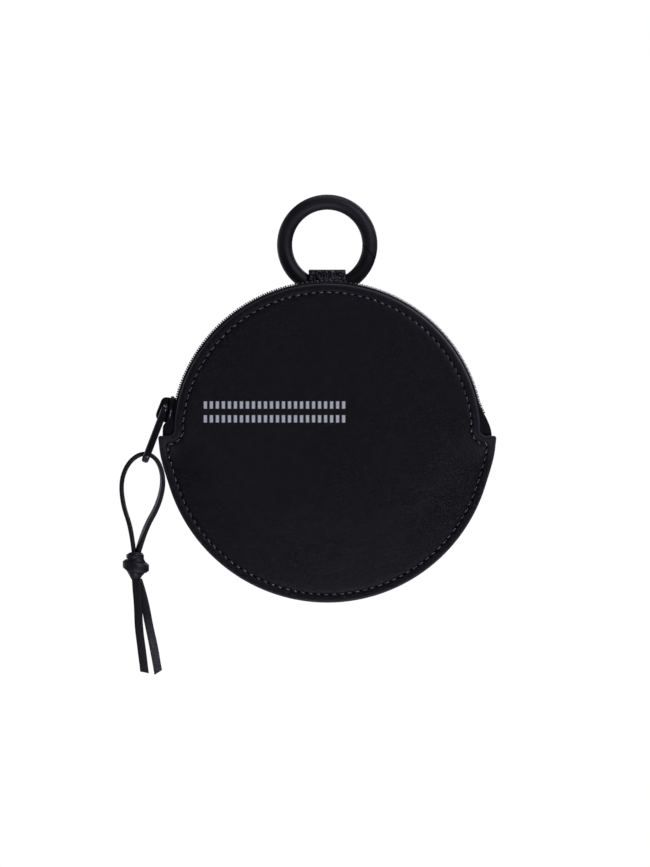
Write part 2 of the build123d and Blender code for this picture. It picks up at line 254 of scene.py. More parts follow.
def body_leather():
    """Satin black leather with a fine closed grain. Its cut edge is edge-painted and smoother, and its colour
    there is lightened as a painted highlight line along the edge.
    """
    f = Finish("body_leather")
    edge = f.node("ShaderNodeAttribute", {"attribute_name": "edge_share"})["Fac"]
    drift = f.node("ShaderNodeTexNoise", {}, {"Vector": f.place, "Scale": 420.0})["Color"]
    wobble = f.node("ShaderNodeVectorMath", {"operation": "MULTIPLY_ADD"},
                    {0: drift, 1: (GRAIN_DRIFT,) * 3, 2: f.place})["Vector"]
    pores = f.cells(2400.0, "SMOOTH_F1", wobble)
    creases = f.cells(1700.0, "DISTANCE_TO_EDGE", wobble)
    cloud = f.noise(38.0, 4.0, 0.55)
    pull = f.noise(240.0, 3.0, 0.55)
    fine = f.noise(4200.0, 2.0)
    grain = f.ramp(creases, (0.0, 0.0), (0.13, 1.0)) * 0.5 + pores * 0.5 + fine * 0.12
    calm = 1.0 - edge
    rough = 0.3 + cloud * 0.12 + pull * 0.08 + fine * 0.05 - edge * 0.1
    dyed = f.colour(cloud * 0.6 + pull * 0.4, (0.0014, 0.0014, 0.0023), (0.0042, 0.0042, 0.0062))
    # The cut edge's lighter colour is a painted highlight line, not the colour of the edge paint.
    base = f.tint(edge * 0.8, dyed, (0.06, 0.06, 0.068))
    normal = f.bump(grain * calm, 0.00012, 0.8, f.bump(pull * calm, 0.00003, 0.5))
    return f.done(Base_Color=base, Roughness=rough, Normal=normal, Specular_IOR_Level=0.27)


def tab_leather():
    """Glossier embossed leather with a coarser pebble."""
    f = Finish("tab_leather")
    edge = f.node("ShaderNodeAttribute", {"attribute_name": "edge_share"})["Fac"]
    pebble = f.cells(980.0, "DISTANCE_TO_EDGE")
    fine = f.noise(3800.0, 2.0)
    height = f.ramp(pebble, (0.0, 0.0), (0.22, 1.0)) * 0.8 + fine * 0.15
    wrinkle = f.noise(900.0, 4.0, 0.6)
    rough = 0.15 + fine * 0.12
    base = f.colour(wrinkle, (0.001, 0.001, 0.0013), (0.004, 0.004, 0.005))
    creased = f.bump(wrinkle, 0.0004, 0.9)
    return f.done(Base_Color=base, Roughness=rough - edge * 0.05,
                  Normal=f.bump(height * (1.0 - edge), 0.0006, 1.0, creased),
                  Specular_IOR_Level=0.8)


def lace_leather():
    """Soft lace: a smooth grain side, and a speckled grey flesh side."""
    f = Finish("lace_leather")
    flesh = f.node("ShaderNodeAttribute", {"attribute_name": "flesh_share"})["Fac"]
    fibre = f.noise(2600.0, 5.0, 0.7)
    speck = f.ramp(f.noise(1500.0, 3.0, 0.65), (0.42, 0.0), (0.68, 1.0))
    grain = f.cells(1300.0, "DISTANCE_TO_EDGE")
    skin = f.colour(f.noise(160.0), (0.006, 0.006, 0.007), (0.014, 0.014, 0.016))
    base = f.tint(flesh * (0.3 + speck * 0.7), skin, (0.09, 0.09, 0.094))
    rough = 0.4 + fibre * 0.14 + flesh * 0.35
    height = grain * (1.0 - flesh) * 0.8 + fibre * (0.25 + flesh * 0.9)
    return f.done(Base_Color=base, Roughness=rough, Normal=f.bump(height, 0.00008, 0.6),
                  Specular_IOR_Level=0.45)


def woven(name, low, high, pitch, twill=0.0):
    """Cloth woven along its own UV map, which is in millimetres. twill slants the warp."""
    f = Finish(name)
    uv = f.node("ShaderNodeTexCoord")["UV"]
    split = f.node("ShaderNodeSeparateXYZ", {}, {"Vector": uv})
    along, across = split["X"], split["Y"]
    warp = ((across + along * twill) * (2 * pi / pitch)).math("SINE")
    weft = (along * (2 * pi / pitch)).math("SINE")
    weave = warp * weft * 0.5 + 0.5
    hair = f.noise(2400.0, 4.0, 0.6)
    base = f.colour(weave * 0.6 + hair * 0.4, low, high)
    normal = f.bump(weave + hair * 0.3, 0.00012, 0.8)
    return f.done(Base_Color=base, Roughness=0.72 + hair * 0.16, Normal=normal,
                  Sheen_Weight=0.04, Sheen_Roughness=0.4, Specular_IOR_Level=0.25)


# The gate's slanted seam, from the inside of the ring's wire to its outside.
SEAM_IN_ANGLE = 2.0
SEAM_OUT_ANGLE = -17.0
RING_INNER_R = 12.5
RING_OUTER_R = 17.94
SEAM_REACH = 7.0


def ring_point(radius, angle):
    """A point of the ring, in metres in the row frame."""
    return RING_CENTRE + Vector((cos(radians(angle)), 0, sin(radians(angle)))) * radius * MM


def soft_touch_metal():
    """Matte rubbery coating with a faint orange peel, and a dark line of painted shade along the gate's seam.
    """
    f = Finish("soft_touch_metal")
    seam_in = ring_point(RING_INNER_R, SEAM_IN_ANGLE)
    across = (ring_point(RING_OUTER_R, SEAM_OUT_ANGLE) - seam_in).normalized().cross(Vector((0, 1, 0)))
    local = f.node("ShaderNodeVectorMath", {"operation": "SUBTRACT"},
                   {0: f.place, 1: tuple(seam_in)})["Vector"]
    gap = f.node("ShaderNodeVectorMath", {"operation": "DOT_PRODUCT"},
                 {0: local, 1: tuple(across)})["Value"]
    rise = f.node("ShaderNodeSeparateXYZ", {}, {"Vector": local})["Z"]
    near = rise.math("ABSOLUTE").math("LESS_THAN", SEAM_REACH * MM)
    # seam is a dark line of painted shade along the gate's seam, standing for the shadow in its gap. It also
    # sinks a groove and roughens it there.
    seam = near * f.ramp(gap.math("ABSOLUTE") * (1 / MM), (0.0, 1.0), (0.16, 0.9), (0.3, 0.0))
    peel = f.noise(1100.0, 2.0)
    dust = f.noise(6000.0, 2.0)
    handled = f.noise(70.0, 3.0)
    coating = f.colour(handled, (0.004, 0.004, 0.0052), (0.008, 0.008, 0.01))
    base = f.tint(seam, coating, (0.0008, 0.0008, 0.001))
    groove = f.bump(1.0 - seam, 0.0002, 1.0)
    return f.done(Base_Color=base, Roughness=0.47 + handled * 0.1 + dust * 0.05 + seam * 0.35,
                  Normal=f.bump(peel * 0.7 + dust * 0.3, 0.00003, 0.6, groove), Specular_IOR_Level=0.45)


def black_hardware():
    """Glossy black enamel on cast metal."""
    f = Finish("black_hardware")
    peel = f.noise(700.0, 2.0)
    worn = f.noise(240.0, 4.0, 0.6)
    base = f.colour(worn, (0.004, 0.004, 0.005), (0.012, 0.012, 0.014))
    return f.done(Base_Color=base, Roughness=0.16 + worn * 0.16, Normal=f.bump(peel, 0.00004, 0.4),
                  Coat_Weight=0.4, Coat_Roughness=0.12, Specular_IOR_Level=0.5)


def thread():
    """Bonded thread: fine twisted filaments with a waxy glint, and a painted glint that lightens the crown of
    each stitch in patches.
    """
    f = Finish("thread")
    twist = f.node("ShaderNodeTexWave", {"wave_type": "BANDS", "bands_direction": "DIAGONAL"},
                   {"Vector": f.place, "Scale": 900.0, "Distortion": 1.5})["Fac"]
    painted_glint = f.node("ShaderNodeAttribute", {"attribute_name": "rubbed_share"})["Fac"]
    patchy = f.ramp(f.noise(420.0, 2.0, 0.5), (0.38, 0.0), (0.6, 1.0))
    # The crown of each stitch is lightened in patches: a painted glint.
    base = f.colour(twist * 0.1 + painted_glint * (0.3 + patchy * 0.6), (0.006, 0.006, 0.008), (0.12, 0.12, 0.125))
    return f.done(Base_Color=base, Roughness=0.14 + twist * 0.1, Normal=f.bump(twist, 0.00004, 0.6),
                  Specular_IOR_Level=1.0)


def zip_nylon():
    """Moulded nylon coil, slightly glossy."""
    f = Finish("zip_nylon")
    flow = f.noise(900.0, 3.0)
    base = f.colour(flow, (0.0025, 0.0025, 0.003), (0.007, 0.007, 0.008))
    return f.done(Base_Color=base, Roughness=0.2 + flow * 0.15, Normal=f.bump(flow, 0.00003, 0.5))


def ink():
    """Matte white screen print, thin enough for the grain to show through."""
    f = Finish("print_ink")
    grain = f.cells(1500.0, "SMOOTH_F1")
    wear = f.noise(2600.0, 3.0)
    base = f.colour(wear, (0.62, 0.62, 0.62), (0.84, 0.84, 0.84))
    return f.done(Base_Color=base, Roughness=0.55 + wear * 0.15, Normal=f.bump(grain, 0.00003, 0.5))


def steel():
    """Bright drawn spring wire."""
    f = Finish("spring_steel")
    drawn = f.noise(1800.0, 3.0)
    base = f.colour(drawn, (0.22, 0.22, 0.23), (0.34, 0.34, 0.35))
    return f.done(Base_Color=base, Roughness=0.25 + drawn * 0.15, Metallic=1.0,
                  Normal=f.bump(drawn, 0.00002, 0.4))


BODY_LEATHER = body_leather()
TAB_LEATHER = tab_leather()
LACE_LEATHER = lace_leather()
TAPE_CLOTH = woven("zip_tape_cloth", (0.0015, 0.0015, 0.002), (0.007, 0.007, 0.008), 0.55)
LINING_CLOTH = woven("lining_cloth", (0.012, 0.012, 0.014), (0.034, 0.034, 0.038), 0.8, 1.0)
SOFT_TOUCH = soft_touch_metal()
HARDWARE = black_hardware()
THREAD = thread()
NYLON = zip_nylon()
INK = ink()
STEEL = steel()


def paint(piece, *materials):
    """Give a piece its materials, in slot order."""
    piece.data.materials.clear()
    for material in materials:
        piece.data.materials.append(material)


# ---- mesh helpers ---------------------------------------------------------------------------
def add_piece(name, points, faces, material, sharp=40, uv=None):
    """A closed smooth-shaded mesh from points in metres. uv gives one pair for each point."""
    mesh = bpy.data.meshes.new(name)
    mesh.from_pydata([tuple(point) for point in points], [], faces)
    if uv:
        layer = mesh.uv_layers.new(name="UVMap")
        for loop in mesh.loops:
            layer.data[loop.index].uv = uv[loop.vertex_index]
    shell = bmesh.new()
    shell.from_mesh(mesh)
    bmesh.ops.recalc_face_normals(shell, faces=shell.faces)
    shell.to_mesh(mesh)
    shell.free()
    mesh.shade_smooth()
    mesh.set_sharp_from_angle(angle=radians(sharp))
    piece = bpy.data.objects.new(name, mesh)
    bpy.context.collection.objects.link(piece)
    paint(piece, material)
    return piece


def mark(piece, name, values):
    """Store one number for each vertex of a piece."""
    attribute = piece.data.attributes.new(name, "FLOAT", "POINT")
    attribute.data.foreach_set("value", np.array(values, np.float32))


def rounded_section(width, thickness, radius, corner=4):
    """A rectangle with round corners, as (across, out) pairs."""
    points = []
    for turn, (sx, sy) in enumerate(((1, 1), (-1, 1), (-1, -1), (1, -1))):
        for k in range(corner + 1):
            angle = (turn + k / corner) * pi / 2
            points.append((sx * (width / 2 - radius) + radius * cos(angle),
                           sy * (thickness / 2 - radius) + radius * sin(angle)))
    return points


def sweep(stations, closed=False):
    """Points, faces and UVs of a tube through rings of points, which all have the same number."""
    count = len(stations[0])
    points = [point for ring in stations for point in ring]
    faces = []
    for i in range(len(stations) if closed else len(stations) - 1):
        j = (i + 1) % len(stations)
        for k in range(count):
            m = (k + 1) % count
            faces.append((i * count + k, i * count + m, j * count + m, j * count + k))
    if not closed:
        faces.append(tuple(range(count)))
        faces.append(tuple((len(stations) - 1) * count + k for k in range(count)))
    middles = [sum(ring, Vector()) / count for ring in stations]
    run = 0.0
    uv = []
    for i, ring in enumerate(stations):
        run += (middles[i] - middles[i - 1]).length / MM if i else 0.0
        girth = 0.0
        for k, point in enumerate(ring):
            girth += (point - ring[k - 1]).length / MM if k else 0.0
            uv.append((run, girth))
    return points, faces, uv


def joined(name, parts, material, sharp=40):
    """One piece from several closed shapes."""
    points = []
    faces = []
    for some_points, some_faces, _ in parts:
        start = len(points)
        points += some_points
        faces += [tuple(start + corner for corner in face) for face in some_faces]
    return add_piece(name, points, faces, material, sharp)


def spline_points(route, resolution=16):
    """The line of a smooth curve that has the route's points as its controls."""
    data = bpy.data.curves.new("route", "CURVE")
    data.dimensions = "3D"
    data.resolution_u = resolution
    spline = data.splines.new("NURBS")
    spline.points.add(len(route) - 1)
    for point, place in zip(spline.points, route):
        point.co = (*place, 1)
    spline.order_u = 3
    spline.use_endpoint_u = True
    holder = bpy.data.objects.new("route", data)
    bpy.context.collection.objects.link(holder)
    bpy.context.view_layer.update()
    mesh = bpy.data.meshes.new_from_object(holder.evaluated_get(bpy.context.evaluated_depsgraph_get()))
    points = [vertex.co.copy() for vertex in mesh.vertices]
    bpy.data.meshes.remove(mesh)
    bpy.data.objects.remove(holder)
    return points


def tangents(points):
    """The direction of a line at each of its points."""
    ends = [points[0], *points, points[-1]]
    return [(b - a).normalized() for a, b in zip(ends, ends[2:])]


def length_of(points):
    """The length of a line through points."""
    return sum((b - a).length for a, b in zip(points, points[1:]))


# ---- lace pull ------------------------------------------------------------------------------
LOOP_ROUTE = (
    (-68.7, 0, -41.0),
    (-69.6, 0, -32.6),
    (-72.6, 0, -24.2),
    (-73.4, 0, -15.4),
    (-70.4, 0, -8.4),
    (-64.9, 0, -5.2),
    (-60.0, 0, -8.0),
    (-58.0, 0, -15.4),
    (-60.0, 0, -24.2),
    (-65.0, 0, -32.8),
    (-67.3, 0, -41.0),
)
LEFT_TAIL_ROUTE = (
    (-67.9, -0.8, -50.6),
    (-67.2, -0.8, -58.9),
    (-67.0, -0.8, -67.4),
    (-65.9, -0.8, -75.4),
    (-64.9, -0.8, -83.6),
)
RIGHT_TAIL_ROUTE = (
    (-67.3, 0.8, -50.6),
    (-64.9, 0.8, -58.4),
    (-63.4, 0.8, -66.8),
    (-61.5, 0.8, -75.2),
    (-60.1, 0.8, -83.6),
)


def lace_piece(name, route, width_turn, end_cut=0.0, bare=(2, 3)):
    """A flat lace along a route. width_turn gives the turn of its width from the purse's plane,
    in degrees, at each share of its length. end_cut slants its last end. The dye is worn off the
    flesh side between the two shares in bare."""
    line = spline_points([at(*point) for point in route])
    directions = tangents(line)
    section = rounded_section(LACE_WIDTH, LACE, 0.42)
    stations = []
    flesh = []
    for index, (place, along) in enumerate(zip(line, directions)):
        share = index / (len(line) - 1)
        turn = radians(width_turn(share))
        across = Vector((0, 1, 0)).cross(along).normalized()
        depth = Vector((0, 1, 0))
        wide = across * cos(turn) + depth * sin(turn)
        out = depth * cos(turn) - across * sin(turn)
        uneven = 1 + 0.05 * noise.noise(place * 160)
        ring = []
        for u, v in section:
            slant = along * (u * end_cut * step(0.9, 1.0, share) * MM)
            ring.append(place + (wide * (u * uneven) + out * (v * uneven)) * MM + slant)
            flesh.append(step(0.1, 0.5, v / LACE) * (0.15 + 0.85 * step(*bare, share)))
        stations.append(ring)
    points, faces, uv = sweep(stations)
    piece = add_piece(name, points, faces, LACE_LEATHER, 60, uv)
    mark(piece, "flesh_share", flesh)
    return piece, line


lace_loop, loop_line = lace_piece(
    "lace_loop_strip", LOOP_ROUTE, lambda share: 84 - 20 * step(0.55, 0.9, share))
left_tail, left_line = lace_piece(
    "lace_tail_left_strip", LEFT_TAIL_ROUTE, lambda share: 14 - 22 * share, -0.35)
right_tail, right_line = lace_piece(
    "lace_tail_right_strip", RIGHT_TAIL_ROUTE, lambda share: 200 - 34 * share, -0.4, (0.35, 0.75))


KNOT_SIDES = 40
CORE_SIDES = 28
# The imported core, as (height, radius) pairs from its top to its bottom.
CORE_PROFILE = ((5.0, 2.0), (4.2, 3.0), (2.8, 2.9), (1.6, 3.4),
                (-1.4, 3.4), (-3.0, 2.5), (-4.1, 1.9), (-4.7, 1.4))


def knot_band(middle, radii, size, tilt, lift=0.0):
    """One wrap of the knot: a closed strip of a height and a thickness round an ellipse. It is
    tilted about the line of sight, and lift raises its back over its front."""
    section = rounded_section(size[0], size[1], size[1] * 0.42)
    stations = []
    for k in range(KNOT_SIDES):
        turn = 2 * pi * k / KNOT_SIDES
        out = Vector((cos(turn), sin(turn), 0))
        x = radii[0] * cos(turn)
        y = radii[1] * sin(turn)
        rise = x * tilt + lift * sin(turn)
        bulge = 1 + 0.06 * noise.noise(Vector((x, y, middle[1])) * 0.35)
        ring = []
        for u, v in section:
            squeeze = v - 0.45 * size[1] * (2 * u / size[0]) ** 2 * (v > 0)
            ring.append(at(
                middle[0] + x * bulge + out.x * squeeze,
                y * bulge + out.y * squeeze,
                middle[1] + rise + u * (1 - 0.3 * abs(cos(turn)) ** 3)))
        stations.append(ring)
    return sweep(stations, closed=True)


def knot_core():
    """The lace packed inside the knot, and the folds that come out of it below."""
    stations = []
    for height, radius in CORE_PROFILE:
        ring = []
        for k in range(CORE_SIDES):
            turn = 2 * pi * k / CORE_SIDES
            fold = 1 + 0.07 * cos(3 * turn + height * 0.5)
            facet = 1 - 0.1 * abs(sin(2.5 * turn)) if height < -2 else 1
            ring.append(at(KNOT_X + radius * fold * facet * cos(turn), radius * 0.95 * fold * sin(turn),
                           KNOT_Z + height))
        stations.append(ring)
    return sweep(stations)


def make_knot():
    """Two wraps of lace round a packed core, drawn tight, and a third that crosses below them."""
    parts = [
        knot_core(),
        knot_band((KNOT_X - 0.3, KNOT_Z + 3.9), (2.45, 2.3), (2.8, 1.5), 0.08),
        knot_band((KNOT_X + 0.1, KNOT_Z + 0.2), (4.2, 3.4), (4.2, 1.6), -0.15, 0.4),
        knot_band((KNOT_X + 0.7, KNOT_Z - 2.2), (2.1, 2.6), (2.4, 1.4), 0.4, -1.2),
    ]
    piece = joined("lace_knot_wraps", parts, LACE_LEATHER, 50)
    mark(piece, "flesh_share", [0.0] * len(piece.data.vertices))
    return piece


knot = make_knot()
for piece, node in ((lace_loop, "lace_loop"), (left_tail, "lace_tail_left"), (right_tail, "lace_tail_right"),
                    (knot, "lace_knot")):
    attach(piece, "tassel")
    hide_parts(node)
length_of(loop_line)
length_of(left_line)
length_of(right_line)


# ---- the two leather panels and their linings -----------------------------------------------
# Below, the face is dished down to the sewn rim. Above, it is a slightly crowned plate.
DISH_R = 55.5
DISH_RISE = 4.7
DISH_CURVE = 2.3
CROWN = 0.35
SLOPE_LOW_Z = -10.0
SLOPE_EXTRA = 28.0
SLOPE_HIGH_Z = 6.5

# The notch at each end of the zip.
NOTCH_TOP_Z = 0.5
NOTCH_CORNER_R = 0.9
NOTCH_INNER_R = 2.3
NOTCH_SIDE_Z = 6.0
NOTCH_PITCH = 0.3
RIM_START_ANGLE = -2.6
ZIP_START_ANGLE = 6.6


def half_depth(x, z):
    """Half the body's thickness, outside the leather: full under the zip, thin at the sewn rim."""
    radius = hypot(x, z)
    inward = min(max((DISH_R - radius) / DISH_R, 0.0), 1.0)
    dish = RIM_HALF + DISH_RISE * (1 - (1 - inward) ** DISH_CURVE)
    plate = BODY_HALF + CROWN * (1 - (radius / PANEL_R) ** 2) if radius < PANEL_R else BODY_HALF
    # The change from one to the other is short beside the zip's ends and long in the middle.
    low = SLOPE_LOW_Z - SLOPE_EXTRA * (1 - step(36.0, 54.0, radius))
    return dish + (plate - dish) * step(low, SLOPE_HIGH_Z, z)


def arc(centre, radius, first, last, pitch=0.9):
    """Points along an arc, from first to last degrees, both ends included."""
    count = max(2, ceil(abs(radians(last - first)) * radius / pitch))
    turns = [radians(first + (last - first) * k / count) for k in range(count + 1)]
    return [(centre[0] + radius * cos(turn), centre[1] + radius * sin(turn)) for turn in turns]


def right_notch(upper_r, shoulder_x):
    """The panel's edge at the right, from the rim up round the shoulder and the notch to the zip."""
    side_x = sqrt(upper_r**2 - NOTCH_SIDE_Z**2) + 0.1
    shoulder = (shoulder_x - NOTCH_CORNER_R, NOTCH_TOP_Z - NOTCH_CORNER_R)
    hollow = (side_x + NOTCH_INNER_R, NOTCH_TOP_Z + NOTCH_INNER_R)
    return [
        *arc(shoulder, NOTCH_CORNER_R, -8, 90, NOTCH_PITCH),
        *arc(hollow, NOTCH_INNER_R, 270, 180, NOTCH_PITCH),
    ]


def outline(upper_r=PANEL_R, rim_r=RIM_R, shoulder_x=SHOULDER_X):
    """A panel's edge, anticlockwise from the right shoulder, as (x, z) pairs."""
    notch = right_notch(upper_r, shoulder_x)
    top = arc((0, 0), upper_r, ZIP_START_ANGLE, 180 - ZIP_START_ANGLE)
    left = [(-x, z) for x, z in reversed(notch)]
    rim = []
    for x, z in arc((0, 0), rim_r, 180 - RIM_START_ANGLE, 360 + RIM_START_ANGLE):
        below = degrees(abs(atan2(-z, abs(x))))
        swell = 1 + (shoulder_x / rim_r - 1) * 0.85 * (1 - step(2.0, 17.0, below))
        rim.append((x * swell, z * swell))
    return notch + top + left + rim


def inset_points(loop, depth):
    """The loop drawn inwards by depth, without the points that a corner pushes too near an edge."""
    ring = np.array(loop)
    ahead = np.roll(ring, -1, axis=0) - np.roll(ring, 1, axis=0)
    ahead /= np.linalg.norm(ahead, axis=1)[:, None]
    moved = ring + np.stack([-ahead[:, 1], ahead[:, 0]], axis=1) * depth
    keep = edge_distance(moved, ring) > depth - 0.03
    return moved[keep]


def edge_distance(points, ring):
    """The distance of each point to the nearest stretch of a closed loop."""
    spans = np.roll(ring, -1, axis=0) - ring
    lengths = (spans**2).sum(axis=1)
    best = np.full(len(points), np.inf)
    for start, span, length in zip(ring, spans, lengths):
        away = points - start
        share = np.clip((away @ span) / length, 0, 1)
        gap = away - share[:, None] * span
        best = np.minimum(best, (gap**2).sum(axis=1))
    return np.sqrt(best)


def inside(points, ring):
    """Whether each point lies inside a closed loop."""
    result = np.zeros(len(points), bool)
    x, z = points[:, 0], points[:, 1]
    for (ax, az), (bx, bz) in zip(ring, np.roll(ring, -1, axis=0)):
        crosses = (az > z) != (bz > z)
        where = crosses & (x < (bx - ax) * (z - az) / ((bz - az) or 1e-12) + ax)
        result ^= where
    return result


EDGE_ROUND = 0.5
# Depths of the mesh's rows of points below the edge: close at the round edge and at the seam.
RINGS = (0.08, 0.2, 0.35, 0.5, 0.8, 1.2, 1.7, 2.2, 2.6, 2.85, 3.0, 3.15, 3.4, 3.8, 4.4, 5.2, 6.3, 7.8)
FULL_RING_DEPTH = 3.5
GRID = 1.7
GRID_REACH = 60


def flat_mesh(loop, rings, grid):
    """A triangle mesh of the loop's inside, fine beside its edge. Gives its points, its faces and the
    number of points on the loop, which come first."""
    ring = np.array(loop)
    layers = [ring]
    for depth in rings:
        moved = inset_points(loop, depth)
        layers.append(moved if depth < FULL_RING_DEPTH else moved[::2])
    steps = np.arange(-GRID_REACH, GRID_REACH, grid)
    middle = np.array([(x + (grid / 2 if row % 2 else 0), z) for row, z in enumerate(steps) for x in steps])
    middle = middle[inside(middle, ring)]
    middle = middle[edge_distance(middle, ring) > rings[-1] + grid * 0.6]
    layers.append(middle)
    points = [Vector(point) for point in np.concatenate(layers)]
    count = len(ring)
    edges = [(k, (k + 1) % count) for k in range(count)]
    made = delaunay_2d_cdt(points, edges, [], 1, 1e-4)
    return [(point.x, point.y) for point in made[0]], [tuple(face) for face in made[2]], count


def leather_relief(depth):
    """How far the leather stands out of its plain surface, at a distance from its edge."""
    swell = 0.16 * sin(pi * (depth - 0.45) / 2.35) if 0.45 < depth < 2.8 else 0.0
    seam = -0.3 * bell(depth - SEAM_INSET, 0.36)
    body = 0.07 * step(3.3, 4.6, depth) * (1 - step(5.5, 11.0, depth))
    return swell + seam + body


def round_drop(depth, radius):
    """How far a round edge falls back at a distance from it."""
    return radius - sqrt(radius**2 - (radius - depth) ** 2) if depth < radius else 0.0


def panel(name, side, loop, skin, thickness, material, relief=None, rings=RINGS, grid=GRID, edge=EDGE_ROUND):
    """One layer of a panel: an outer and an inner surface, joined by a round edge. skin is how far
    the outer surface lies below the body's own."""
    flat, triangles, count = flat_mesh(loop, rings, grid)
    depths = edge_distance(np.array(flat), np.array(loop))
    outer = []
    inner = []
    for (x, z), depth in zip(flat, depths):
        waves = noise.noise(Vector((x * 0.045, z * 0.045, 3.0 * side))) * 0.22
        waves += noise.noise(Vector((x * 0.13, z * 0.13, 7.0 * side))) * 0.05
        out = half_depth(x, z) - skin + waves * step(5, 16, depth)
        proud = relief(depth) if relief else 0.0
        outer.append(at(x, side * (out + proud - round_drop(depth, edge)), z))
        inner.append(at(x, side * (out - thickness + round_drop(depth, edge * 0.6)), z))
    total = len(flat)
    faces = list(triangles)
    faces += [tuple(total + corner for corner in reversed(face)) for face in triangles]
    faces += [(k, (k + 1) % count, total + (k + 1) % count, total + k) for k in range(count)]
    uv = [(x, z) for x, z in flat] * 2
    piece = add_piece(name, outer + inner, faces, material, 60, uv)
    mark(piece, "edge_share", [1 - step(0.25, 0.7, depth) for depth in depths] * 2)
    return piece


def folds_open(piece):
    """Bakes the piece's placement into its mesh. It is not attached to any body that moves as the zip opens.
    """
    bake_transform(piece)


PANEL_LOOP = outline()
LINING_INSET = 0.7
LINING_LOOP = outline(PANEL_R - LINING_INSET, RIM_R - LINING_INSET, SHOULDER_X - LINING_INSET)
LINING_RINGS = (0.4, 1.2, 2.4, 4.0)
LINING_GRID = 3.0
LINING_EDGE = 0.05
LINING_SKIN = LEATHER + 0.04
LINING_THICK = 0.22

front_panel = panel("front_panel_leather", FRONT, PANEL_LOOP, 0, LEATHER, BODY_LEATHER, leather_relief)
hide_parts("front_panel_upper", "front_panel_lower")
folds_open(front_panel)
back_panel = panel("back_panel_leather", BACK, PANEL_LOOP, 0, LEATHER, BODY_LEATHER, leather_relief)
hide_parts("back_panel")
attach(back_panel, "shell")


def lining(name, side):
    """The cloth behind one panel, cut a little smaller than the leather."""
    piece = panel(name, side, LINING_LOOP, LINING_SKIN, LINING_THICK, LINING_CLOTH,
                  rings=LINING_RINGS, grid=LINING_GRID, edge=LINING_EDGE)
    return piece


front_lining = lining("front_lining_cloth", FRONT)
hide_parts("front_lining_upper", "front_lining_lower")
folds_open(front_lining)
back_lining = lining("back_lining_cloth", BACK)
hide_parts("back_lining_upper", "back_lining_lower")
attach(back_lining, "shell")


# ---- rows of small pieces -------------------------------------------------------------------
# What a row is given: Spread fans its pieces out from a point, Lean and Side stand them up along an
# axis or across the line, and Uneven turns each one a little at random.
ROW_INPUTS = (
    ("Line", "NodeSocketGeometry"),
    ("Piece", "NodeSocketObject"),
    ("Pitch", "NodeSocketFloat"),
    ("Spread from", "NodeSocketVector"),
    ("Spread", "NodeSocketVector"),
    ("Lean", "NodeSocketVector"),
    ("Side", "NodeSocketVector"),
    ("Uneven", "NodeSocketFloat"),
    ("Seed", "NodeSocketInt"),
    ("Material", "NodeSocketMaterial"),
)


def row_tree(name):
    """Geometry nodes that set copies of a piece along a curve, stood up from the line it lies on."""
    group = bpy.data.node_groups.new(name, "GeometryNodeTree")
    sockets = {}
    for label, kind in ROW_INPUTS:
        sockets[label] = group.interface.new_socket(label, in_out="INPUT", socket_type=kind).identifier
    group.interface.new_socket("Row", in_out="OUTPUT", socket_type="NodeSocketGeometry")
    tree = Tree(group)
    given = tree.node("NodeGroupInput")
    dots = tree.node("GeometryNodeCurveToPoints", {"mode": "LENGTH"},
                     {"Curve": given["Line"], "Length": given["Pitch"]})
    place = tree.node("GeometryNodeInputPosition")["Position"]

    def vector(operation, first, second):
        return tree.node("ShaderNodeVectorMath", {"operation": operation}, {0: first, 1: second})["Vector"]

    fan = vector("MULTIPLY", vector("SUBTRACT", place, given["Spread from"]), given["Spread"])
    turned = vector("CROSS_PRODUCT", dots["Tangent"], given["Side"])
    out = vector("ADD", vector("ADD", vector("NORMALIZE", fan, (0, 0, 0)), given["Lean"]), turned)
    first = tree.node("FunctionNodeAlignRotationToVector", {"axis": "X"},
                      {"Vector": dots["Tangent"]})["Rotation"]
    second = tree.node("FunctionNodeAlignRotationToVector", {"axis": "Z", "pivot_axis": "X"},
                       {"Rotation": first, "Vector": out})["Rotation"]
    chance = tree.node("FunctionNodeRandomValue", {"data_type": "FLOAT"},
                       {2: given["Uneven"] * -1.0, 3: given["Uneven"], "Seed": given["Seed"]})[1]
    lean = tree.node("ShaderNodeCombineXYZ", {}, {"Z": chance})["Vector"]
    euler = tree.node("FunctionNodeEulerToRotation", {}, {"Euler": lean})["Rotation"]
    third = tree.node("FunctionNodeRotateRotation", {"rotation_space": "LOCAL"},
                      {"Rotation": second, "Rotate By": euler})["Rotation"]
    copy = tree.node("GeometryNodeObjectInfo", {}, {"Object": given["Piece"]})["Geometry"]
    laid = tree.node("GeometryNodeInstanceOnPoints", {}, {
        "Points": dots["Points"], "Instance": copy, "Rotation": third})["Instances"]
    real = tree.node("GeometryNodeRealizeInstances", {}, {"Geometry": laid})["Geometry"]
    done = tree.node("GeometryNodeSetMaterial", {},
                     {"Geometry": real, "Material": given["Material"]})["Geometry"]
    tree.node("NodeGroupOutput", {}, {"Row": done})
    return group, sockets


ROW, ROW_SOCKETS = row_tree("row_along_line")


